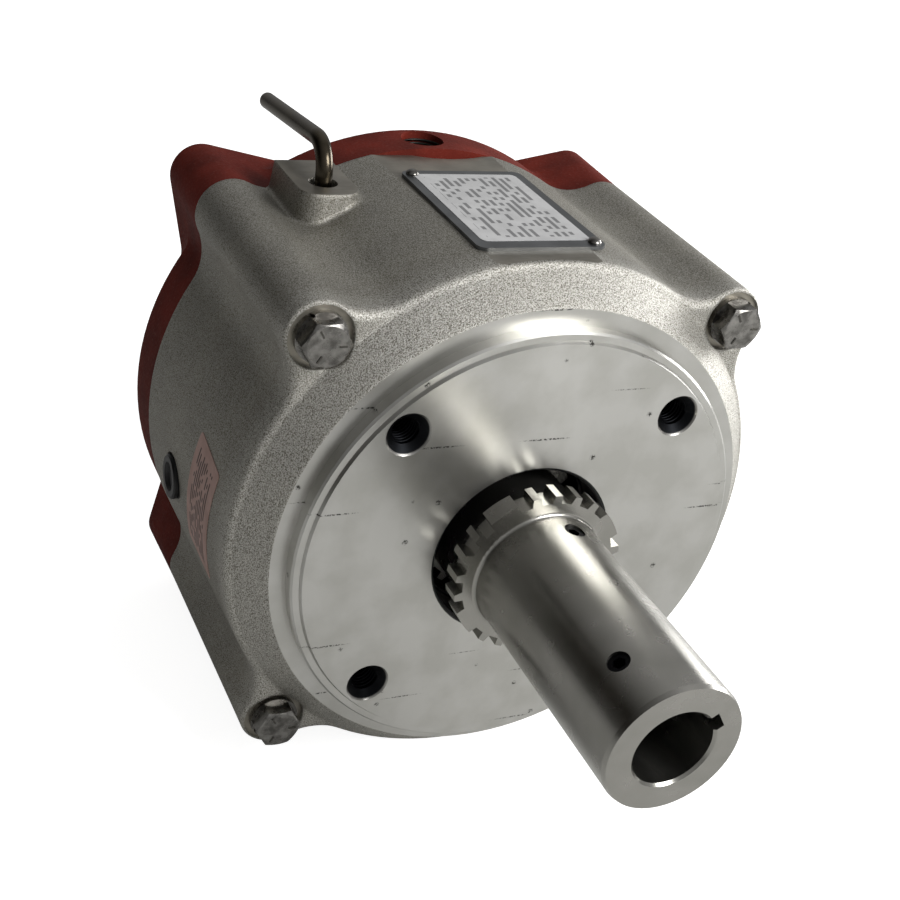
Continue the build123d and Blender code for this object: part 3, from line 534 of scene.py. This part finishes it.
black_moulding = make_plain("black_nylon_moulding", "#050607", "#0C0D10", 0.42, 1.2, 0.01)
lining_material = make_plain("moulded_friction_lining", "#3B342B", "#5A5145", 0.85, 1.5, 0.05)
potting = make_plain("epoxy_potting", "#22160E", "#2F2016", 0.35, 6.0, 0.03)
lead_sleeving = make_plain("lead_insulation", "#B9B6AD", "#C8C5BD", 0.5, 2.0, 0.02)
cap_nylon = make_plain("natural_nylon", "#C3B88F", "#D2C8A2", 0.45, 3.0, 0.02)
print("made five plain materials")


# %% [markdown]
# The data plate's panel and the side label carry rows of plain bars, so they look printed from afar
# and say nothing. Rows are counted across the sheet and cells along it, and a number drawn
# for each cell says whether it is inked, which gives bars of uneven length. The number comes from
# the cell's own place, so it is the same in every run.

# %% Sheets with plain bars
BAR_EDGE_OUT = 0.2
BAR_EDGE_IN = 0.26
SHEET_GRAIN_MM = 9.0


def make_bars(tree, across, along, row_mm, cell_mm, inked):
    """Rows of plain bars of uneven length."""
    across_rows = add(tree, "ShaderNodeMath", {0: across, 1: row_mm * MM}, operation="DIVIDE")
    along_cells = add(tree, "ShaderNodeMath", {0: along, 1: cell_mm * MM}, operation="DIVIDE")
    spot = add(tree, "ShaderNodeCombineXYZ", {
        "X": add(tree, "ShaderNodeMath", {0: across_rows}, operation="FLOOR"),
        "Y": add(tree, "ShaderNodeMath", {0: along_cells}, operation="FLOOR"),
    })
    chance = add(tree, "ShaderNodeTexWhiteNoise", {"Vector": spot}, noise_dimensions="2D")
    swing = add(tree, "ShaderNodeMath", {0: across, 1: row_mm * MM / 2}, operation="PINGPONG")
    line = add(tree, "ShaderNodeMapRange", {
        "Value": swing, "From Min": row_mm * BAR_EDGE_OUT * MM, "From Max": row_mm * BAR_EDGE_IN * MM,
    })
    here = add(tree, "ShaderNodeMath", {0: chance, 1: inked}, operation="LESS_THAN")
    return add(tree, "ShaderNodeMath", {0: here, 1: line}, operation="MULTIPLY")


def inside(tree, value, low, high):
    """1 between two places along an axis, 0 outside."""
    above = add(tree, "ShaderNodeMath", {0: value, 1: low}, operation="GREATER_THAN")
    below = add(tree, "ShaderNodeMath", {0: value, 1: high}, operation="LESS_THAN")
    return add(tree, "ShaderNodeMath", {0: above, 1: below}, operation="MULTIPLY")


def make_sheet(name, paper, ink, strength, turn, axes, rows, window, roughness):
    """A sheet with bars: axes run across and along the rows, rows holds row, cell and inked share."""
    material, tree, place = start_material(name)
    grain = add(tree, "ShaderNodeTexNoise", {
        "Vector": place, "Scale": per_metre(SHEET_GRAIN_MM), "Detail": 3.0,
    })
    cloud = add(tree, "ShaderNodeMapRange", {"Value": grain, "From Min": 0.35, "From Max": 0.65})
    blank = add(tree, "ShaderNodeMix", {
        0: cloud, 6: colour(paper[0]), 7: colour(paper[1]),
    }, data_type="RGBA")
    level = add(tree, "ShaderNodeMapping", {
        "Vector": place, "Rotation": (math.radians(turn), 0.0, 0.0),
    })
    parts = add(tree, "ShaderNodeSeparateXYZ", {0: level}).outputs
    mask = make_bars(tree, parts[axes[0]], parts[axes[1]], *rows)
    for axis, (low, high) in zip(axes, window):
        within = inside(tree, parts[axis], low, high)
        mask = add(tree, "ShaderNodeMath", {0: mask, 1: within}, operation="MULTIPLY")
    share = add(tree, "ShaderNodeMath", {0: mask, 1: strength}, operation="MULTIPLY")
    tone = add(tree, "ShaderNodeMix", {0: share, 6: blank, 7: colour(ink)}, data_type="RGBA")
    finish_material(tree, {"Base Color": tone, "Roughness": roughness})
    return material


# %% Side label
LABEL_TILT = -9.0
LABEL_PRINT_WIDTH = 22.0 * MM
LABEL_PRINT_HEIGHT = 52.0 * MM


def make_label_paper():
    """Pink paper with bars that run along the tilted label."""
    low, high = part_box("side_label")
    middle = (low + high) / 2
    turn = math.radians(LABEL_TILT)
    across = middle.y * math.cos(turn) - middle.z * math.sin(turn)
    along = middle.y * math.sin(turn) + middle.z * math.cos(turn)
    window = (
        (across - LABEL_PRINT_WIDTH / 2, across + LABEL_PRINT_WIDTH / 2),
        (along - LABEL_PRINT_HEIGHT / 2, along + LABEL_PRINT_HEIGHT / 2),
    )
    return make_sheet(
        "pink_label_paper", ("#B8968C", "#C8A79E"), "#1F181A", 0.85, LABEL_TILT,
        ("Y", "Z"), (2.2, 2.4, 0.72), window, 0.6,
    )


label_paper = make_label_paper()
print("made", label_paper.name)


# %% [markdown]
# Each node gets its finish in its material slot. The housing has four finishes, cast, turned, milled
# and tapped, so it has four slots, and each face takes the slot that its place on the casting calls for.

# %% Dress the nodes
FINISH = {
    "housing": cast_aluminium,
    "endplate": red_primer,
    "housing_bolts": zinc_steel,
    "housing_bolt_washers": zinc_steel,
    "magnet_body": machined_steel,
    "coil": potting,
    "coil_leads": lead_sleeving,
    "lead_caps": cap_nylon,
    "magnet_screws": black_steel,
    "pressure_springs": machined_steel,
    "torque_pins": machined_steel,
    "pressure_plate": grey_iron,
    "stationary_disc": grey_iron,
    "front_disc_core": machined_steel,
    "front_disc_linings": lining_material,
    "rear_disc_core": machined_steel,
    "rear_disc_linings": lining_material,
    "coupler_sleeve": sleeve_steel,
    "sleeve_set_screws": black_steel,
    "bore_guard": black_moulding,
    "nameplate": plate_aluminium,
    "nameplate_screws": zinc_steel,
    "side_port_plug": black_moulding,
    "side_label": label_paper,
    "release_lever": rod_steel,
    "release_cam": machined_steel,
    "cam_pin": machined_steel,
    "lever_bush": bronze,
    "lever_clips": black_steel,
}

for name, material in FINISH.items():
    mesh = nodes[name].data
    mesh.materials.clear()
    mesh.materials.append(material)
print("dressed", len(FINISH), "of", len(nodes), "nodes")


# %% [markdown]
# Where the housing's faces are machined is read from the frame: the front up to the shoulder, the
# tapped holes, the flat under the nameplate, the top of the lever boss and the spot faces under the
# bolts.

# %% Machined faces of the housing
FRONT_DEPTH = 9.0 * MM
SHOULDER_RADIUS = 115.6 * MM
HOLE_MOUTH = 10.2 * MM
HOLE_DEPTH = 31.0 * MM
BOSS_DROP = 3.12 * MM
FLAT = 0.05 * MM
pad_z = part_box("nameplate")[0].z
boss_z = pad_z - BOSS_DROP
seat_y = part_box("housing_bolt_washers")[1].y


def housing_finish(centre, normal):
    """0 for cast, 1 turned, 2 milled and 3 a tapped hole, from a face's middle and direction."""
    radius = math.hypot(centre.x, centre.z)
    hole_gap = math.hypot(abs(centre.x) - HOLE_STATION, abs(centre.z) - HOLE_STATION)
    if hole_gap < HOLE_MOUTH and abs(normal.y) < 0.9 and centre.y < HOLE_DEPTH:
        return 3
    if centre.y < FRONT_DEPTH and radius < SHOULDER_RADIUS:
        return 1
    if normal.z > 0.999 and (abs(centre.z - pad_z) < FLAT or abs(centre.z - boss_z) < FLAT):
        return 2
    if normal.y < -0.999 and abs(centre.y - seat_y) < FLAT:
        return 2
    return 0


housing_mesh = nodes["housing"].data
for material in (turned_aluminium, milled_aluminium, oily_shaded_hole):
    housing_mesh.materials.append(material)
counts = [0, 0, 0, 0]
for face in housing_mesh.polygons:
    face.material_index = housing_finish(face.center, face.normal)
    counts[face.material_index] += 1
print("housing faces: cast", counts[0], "turned", counts[1], "milled", counts[2], "tapped", counts[3])


# %% [markdown]
# Threads. The four holes in the output face and the conduit entry are tapped, and the threads catch
# the light inside each mouth. A thread is one ridge that winds round the wall, so a Geometry
# Nodes tree sweeps a small triangle along a spiral with the thread's real pitch: thirteen turns an
# inch for the half inch bolts, and fourteen for the half inch pipe thread. The holes sit on one
# circle, so the tree sets the ridge on the corners of a square. Modelled this way the
# ridge is one closed body, and a size is changed in one place.

# %% Geometry Nodes helpers
RIDGE_SHARE = 0.42
SPIRAL_STEPS = 40


def new_tree(name, sizes):
    """A geometry tree with one named number input for each size."""
    tree = bpy.data.node_groups.new(name, "GeometryNodeTree")
    tree.interface.new_socket("Geometry", in_out="OUTPUT", socket_type="NodeSocketGeometry")
    for size in sizes:
        tree.interface.new_socket(size, in_out="INPUT", socket_type="NodeSocketFloat")
    return tree, add(tree, "NodeGroupInput").outputs


def finish_tree(tree, geometry, material):
    """Make the instances real, set the material and end the tree."""
    real = add(tree, "GeometryNodeRealizeInstances", {"Geometry": geometry})
    dressed = add(tree, "GeometryNodeSetMaterial", {"Geometry": real, "Material": material})
    add(tree, "NodeGroupOutput", {"Geometry": dressed})


def place_piece(name, mesh):
    """A piece that is fixed to the base body."""
    piece = bpy.data.objects.new(name, mesh)
    bpy.context.scene.collection.objects.link(piece)
    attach(piece, "base")
    print("made", name, "with", len(mesh.polygons), "faces")
    return piece


def grow(name, tree, sizes):
    """Run a tree once and keep its result as a plain mesh."""
    seed = bpy.data.objects.new(name + "_seed", bpy.data.meshes.new(name + "_seed"))
    bpy.context.scene.collection.objects.link(seed)
    modifier = seed.modifiers.new("grow", "NODES")
    modifier.node_group = tree
    for item in tree.interface.items_tree:
        if item.in_out == "INPUT":
            modifier[item.identifier] = sizes[item.name]
    ready = seed.evaluated_get(bpy.context.evaluated_depsgraph_get())
    mesh = bpy.data.meshes.new_from_object(ready)
    bpy.data.objects.remove(seed)
    return place_piece(name, mesh)


def thread_ridge(tree, size):
    """A triangle swept along a spiral about +Z, from z = 0 upwards."""
    height = add(tree, "ShaderNodeMath", {0: size["Pitch"], 1: size["Turns"]}, operation="MULTIPLY")
    ridge = add(tree, "ShaderNodeMath", {0: size["Pitch"], 1: RIDGE_SHARE}, operation="MULTIPLY")
    spiral = add(tree, "GeometryNodeCurveSpiral", {
        "Resolution": SPIRAL_STEPS, "Rotations": size["Turns"], "Start Radius": size["Radius"],
        "End Radius": size["Radius"], "Height": height,
    })
    section = add(tree, "GeometryNodeCurvePrimitiveCircle", {"Resolution": 3, "Radius": ridge})
    return add(tree, "GeometryNodeCurveToMesh", {
        "Curve": spiral, "Profile Curve": section, "Fill Caps": True,
    })


def on_square(tree, shape, radius):
    """Copies of a shape on the corners of a square about +Z."""
    square = add(tree, "GeometryNodeMeshCircle", {"Vertices": 4, "Radius": radius})
    turned = add(tree, "GeometryNodeTransform", {
        "Geometry": square, "Rotation": (0.0, 0.0, math.radians(45)),
    })
    return add(tree, "GeometryNodeInstanceOnPoints", {"Points": turned, "Instance": shape})


# %% Threads in the tapped holes
INCH = 25.4 * MM
FACE_HOLE_RADIUS = 6.35 * MM
FACE_THREAD_START = 4.4 * MM
FACE_THREAD_PITCH = INCH / 13
FACE_THREAD_TURNS = 11.0


def build_face_threads():
    """The tree for the four tapped holes: ridges on a square, then +Z turned to run along +Y."""
    tree, size = new_tree("face_threads", ("Radius", "Pitch", "Turns", "Circle", "Start"))
    copies = on_square(tree, thread_ridge(tree, size), size["Circle"])
    place = add(tree, "ShaderNodeCombineXYZ", {"Y": size["Start"]})
    laid = add(tree, "GeometryNodeTransform", {
        "Geometry": copies, "Rotation": (math.radians(-90), 0.0, 0.0), "Translation": place,
    })
    finish_tree(tree, laid, oily_shaded_hole)
    return tree


grow("face_hole_threads", build_face_threads(), {
    "Radius": FACE_HOLE_RADIUS, "Pitch": FACE_THREAD_PITCH, "Turns": FACE_THREAD_TURNS,
    "Circle": BOLT_CIRCLE / 2, "Start": FACE_THREAD_START,
})


# %% Thread in the conduit entry
CONDUIT_RADIUS = 10.65 * MM
CONDUIT_TOP = 129.2 * MM
CONDUIT_PITCH = INCH / 14
CONDUIT_TURNS = 6.5
CAP_TO_CENTRE = 8.5 * MM
conduit_centre_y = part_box("lead_caps")[0].y + CAP_TO_CENTRE


def build_conduit_thread():
    """The tree for the conduit entry: one ridge that runs down from the mouth."""
    tree, size = new_tree("conduit_thread", ("Radius", "Pitch", "Turns", "Along", "Top"))
    drop = add(tree, "ShaderNodeMath", {0: size["Pitch"], 1: size["Turns"]}, operation="MULTIPLY")
    low = add(tree, "ShaderNodeMath", {0: size["Top"], 1: drop}, operation="SUBTRACT")
    place = add(tree, "ShaderNodeCombineXYZ", {"Y": size["Along"], "Z": low})
    laid = add(tree, "GeometryNodeTransform", {
        "Geometry": thread_ridge(tree, size), "Translation": place,
    })
    finish_tree(tree, laid, grey_iron)
    return tree


grow("conduit_entry_thread", build_conduit_thread(), {
    "Radius": CONDUIT_RADIUS, "Pitch": CONDUIT_PITCH, "Turns": CONDUIT_TURNS,
    "Along": conduit_centre_y, "Top": CONDUIT_TOP,
})


# %% [markdown]
# The eight pressure springs shorten when the plate is pulled off the discs, by all of its travel. A
# copy of them stands for their CAD node.

# %% A copy of the springs
springs = place_piece("shortening_springs", nodes["pressure_springs"].data.copy())
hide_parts("pressure_springs")
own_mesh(springs)


# %% [markdown]
# Each hex head carries three short raised dashes, the plain mark of a hardened bolt. They are
# twelve like bars, so a second tree makes one bar, sets three round a head and the heads on a square.

# %% Dashes on the bolt heads
HEAD_DASH_RADIUS = 6.3 * MM
HEAD_DASH_SIZE = (3.4 * MM, 0.8 * MM, 0.7 * MM)
LOCK_WASHER_RADIUS = 11.4 * MM
head_face_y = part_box("housing_bolts")[0].y
bolt_diagonal = (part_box("housing_bolt_washers")[1].x - LOCK_WASHER_RADIUS) * math.sqrt(2)


def build_head_dashes():
    """The tree for the dashes: a bar, three round a head, the heads on a square, facing -Y."""
    tree, size = new_tree("head_dashes", ("Dash Radius", "Circle", "Top"))
    bar = add(tree, "GeometryNodeMeshCube", {"Size": HEAD_DASH_SIZE})
    ring = add(tree, "GeometryNodeMeshCircle", {"Vertices": 3, "Radius": size["Dash Radius"]})
    outwards = add(tree, "FunctionNodeAlignRotationToVector", {
        "Vector": add(tree, "GeometryNodeInputPosition"),
    }, axis="X")
    three = add(tree, "GeometryNodeInstanceOnPoints", {
        "Points": ring, "Instance": bar, "Rotation": outwards,
    })
    copies = on_square(tree, three, size["Circle"])
    place = add(tree, "ShaderNodeCombineXYZ", {"Y": size["Top"]})
    laid = add(tree, "GeometryNodeTransform", {
        "Geometry": copies, "Rotation": (math.radians(90), 0.0, 0.0), "Translation": place,
    })
    finish_tree(tree, laid, machined_steel)
    return tree


grow("bolt_head_dashes", build_head_dashes(), {
    "Dash Radius": HEAD_DASH_RADIUS, "Circle": bolt_diagonal, "Top": head_face_y,
})


# %% [markdown]
# The data plate has a white panel inside its bare metal border. It is a thin print, 0.15 mm proud.

# %% White panel on the data plate
PANEL_SIDE_MARGIN = 4.6 * MM
PANEL_FRONT_MARGIN = 7.2 * MM
PANEL_BACK_MARGIN = 4.8 * MM
PANEL_THICKNESS = 0.15 * MM
PANEL_CORNER = 3.0 * MM
CORNER_STEPS = 6
PRINT_MARGIN = 4.0 * MM


def rounded_outline(low, high, corner, steps):
    """Points of a rectangle with rounded corners, anticlockwise seen from above."""
    points = []
    corners = (
        (high[0], high[1], 0), (low[0], high[1], 90), (low[0], low[1], 180), (high[0], low[1], 270),
    )
    for x, y, start in corners:
        centre_x = x - corner if x == high[0] else x + corner
        centre_y = y - corner if y == high[1] else y + corner
        for step in range(steps + 1):
            angle = math.radians(start + 90 * step / steps)
            points.append((centre_x + corner * math.cos(angle), centre_y + corner * math.sin(angle)))
    return points


def make_slab(name, points, bottom, top, material):
    """A flat slab with the given outline."""
    count = len(points)
    verts = [(x, y, bottom) for x, y in points] + [(x, y, top) for x, y in points]
    walls = [(i, (i + 1) % count, (i + 1) % count + count, i + count) for i in range(count)]
    faces = [tuple(range(count - 1, -1, -1)), tuple(range(count, 2 * count))] + walls
    mesh = bpy.data.meshes.new(name)
    mesh.from_pydata(verts, [], faces)
    mesh.materials.append(material)
    return place_piece(name, mesh)


plate_low, plate_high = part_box("nameplate")
panel_low = (plate_low.x + PANEL_SIDE_MARGIN, plate_low.y + PANEL_FRONT_MARGIN)
panel_high = (plate_high.x - PANEL_SIDE_MARGIN, plate_high.y - PANEL_BACK_MARGIN)
panel_window = (
    (panel_low[0] + PRINT_MARGIN, panel_high[0] - PRINT_MARGIN),
    (panel_low[1] + PRINT_MARGIN, panel_high[1] - PRINT_MARGIN),
)
panel_enamel = make_sheet(
    "white_printed_enamel", ("#BDBDBD", "#CACACA"), "#3A3A3D", 0.7, 0.0,
    ("X", "Y"), (3.6, 3.4, 0.55), panel_window, 0.4,
)
make_slab(
    "nameplate_panel", rounded_outline(panel_low, panel_high, PANEL_CORNER, CORNER_STEPS),
    plate_high.z, plate_high.z + PANEL_THICKNESS, panel_enamel,
)


# %% [markdown]
# The floor and the light. The floor is plain and pale. A camera ray, a mirror ray and a glass ray
# also see a share of pure white in it, so the picture's ground is white and the object's own shadow
# stays on it, and no more light falls on the object for that. The world does the same: white to
# the camera, a white band above the horizon in reflections, and for the light itself a soft dome
# with two bright parts, one to the upper right in front, as from a studio's big window, and one
# behind, which the sleeve and the top of the drum mirror. Metal needs something dark to mirror as
# well as something bright, so the dome falls off towards the lower left.

# %% Floor
FLOOR_SIZE = 16.0
FLOOR_WHITE = 0.9
MIRROR_SHARE = 0.06


def white_share(tree, mirror_share):
    """How much of the white a ray sees: all of it for the camera, a share for mirror and glass."""
    path = add(tree, "ShaderNodeLightPath").outputs
    mirrors = add(tree, "ShaderNodeMath", {
        0: path["Is Glossy Ray"], 1: path["Is Transmission Ray"],
    }, operation="MAXIMUM")
    dimmed = add(tree, "ShaderNodeMath", {0: mirrors, 1: mirror_share}, operation="MULTIPLY")
    return add(tree, "ShaderNodeMath", {0: path["Is Camera Ray"], 1: dimmed}, operation="MAXIMUM")


def make_floor():
    """A large pale floor just under the lowest point of the object."""
    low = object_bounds()[0][2]
    half = FLOOR_SIZE / 2
    mesh = bpy.data.meshes.new("studio_floor")
    corners = [(-half, -half, low), (half, -half, low), (half, half, low), (-half, half, low)]
    mesh.from_pydata(corners, [], [(0, 1, 2, 3)])
    floor = bpy.data.objects.new("studio_floor", mesh)
    bpy.context.scene.collection.objects.link(floor)
    material, tree, place = start_material("pale_studio_paper")
    white = add(tree, "ShaderNodeMath", {
        0: white_share(tree, MIRROR_SHARE), 1: FLOOR_WHITE,
    }, operation="MULTIPLY")
    finish_material(tree, {
        "Base Color": colour("#C4C4C2"), "Roughness": 0.9, "Emission Color": (1, 1, 1, 1),
        "Emission Strength": white,
    })
    mesh.materials.append(material)
    floor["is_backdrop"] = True
    return floor


floor = make_floor()
print("floor at", round(floor.data.vertices[0].co.z, 4))


# %% World
HORIZON_TOP = 0.3
DOME_STRENGTH = 0.5
WINDOW_DIRECTION = (0.52, -0.76, 0.39)
WINDOW_EDGE = -0.3
WINDOW_FULL = 0.9
BACK_DIRECTION = (0.2, 0.76, 0.62)
BACK_EDGE = 0.6
BACK_FULL = 1.0
BACK_STRENGTH = 0.85


def bright_part(tree, direction, centre, edge, full, strength):
    """A soft bright part of the dome: edge and full are cosines of the angle from its centre."""
    towards = add(tree, "ShaderNodeVectorMath", {0: direction, 1: centre}, operation="DOT_PRODUCT")
    return add(tree, "ShaderNodeMapRange", {
        "Value": towards, "From Min": edge, "From Max": full, "To Max": strength,
    })


def make_world():
    """White to the camera, a white horizon in mirrors, and a graded dome for light."""
    world = bpy.data.worlds.new("studio")
    bpy.context.scene.world = world
    world.use_nodes = True
    tree = world.node_tree
    tree.nodes.clear()
    direction = add(tree, "ShaderNodeTexCoord").outputs["Generated"]
    share = add(tree, "ShaderNodeMath", {
        0: bright_part(tree, direction, WINDOW_DIRECTION, WINDOW_EDGE, WINDOW_FULL, 1.0),
        1: bright_part(tree, direction, BACK_DIRECTION, BACK_EDGE, BACK_FULL, BACK_STRENGTH),
    }, operation="ADD", use_clamp=True)
    dome = add(tree, "ShaderNodeMix", {
        0: share, 6: colour("#221B0F"), 7: colour("#FAFAFA"),
    }, data_type="RGBA")
    lit = add(tree, "ShaderNodeBackground", {"Color": dome, "Strength": DOME_STRENGTH})
    white = add(tree, "ShaderNodeBackground", {"Color": (1, 1, 1, 1), "Strength": 1.0})
    up = add(tree, "ShaderNodeSeparateXYZ", {0: direction}).outputs["Z"]
    band = add(tree, "ShaderNodeMapRange", {
        "Value": up, "From Min": HORIZON_TOP, "From Max": HORIZON_TOP / 3, "To Max": MIRROR_SHARE,
    })
    mixed = add(tree, "ShaderNodeMixShader", {0: white_share(tree, band), 1: lit, 2: white})
    add(tree, "ShaderNodeOutputWorld", {"Surface": mixed})
    return world


make_world()
print("made the world")


# %% [markdown]
# Two soft boxes add the bright edges: one at the window's side, and one on the right, low down.

# %% Lamps
def add_lamp(name, place_mm, target_mm, size_mm, power):
    """A soft box that faces a point."""
    data = bpy.data.lights.new(name, "AREA")
    data.shape = "RECTANGLE"
    data.size, data.size_y = (value * MM for value in size_mm)
    data.energy = power
    lamp = bpy.data.objects.new(name, data)
    lamp.location = Vector(place_mm) * MM
    facing = Vector(place_mm) - Vector(target_mm)
    lamp.rotation_mode = "QUATERNION"
    lamp.rotation_quaternion = facing.to_track_quat("Z", "Y")
    bpy.context.scene.collection.objects.link(lamp)
    return lamp


add_lamp("window", (600, -900, 820), (0, 40, 0), (600, 600), 17)
add_lamp("right_box", (1200, 330, 250), (0, 40, 0), (700, 450), 11)
print("lit by two lamps and the dome")


# %% Finish
bpy.context.scene.view_settings.view_transform = "Standard"
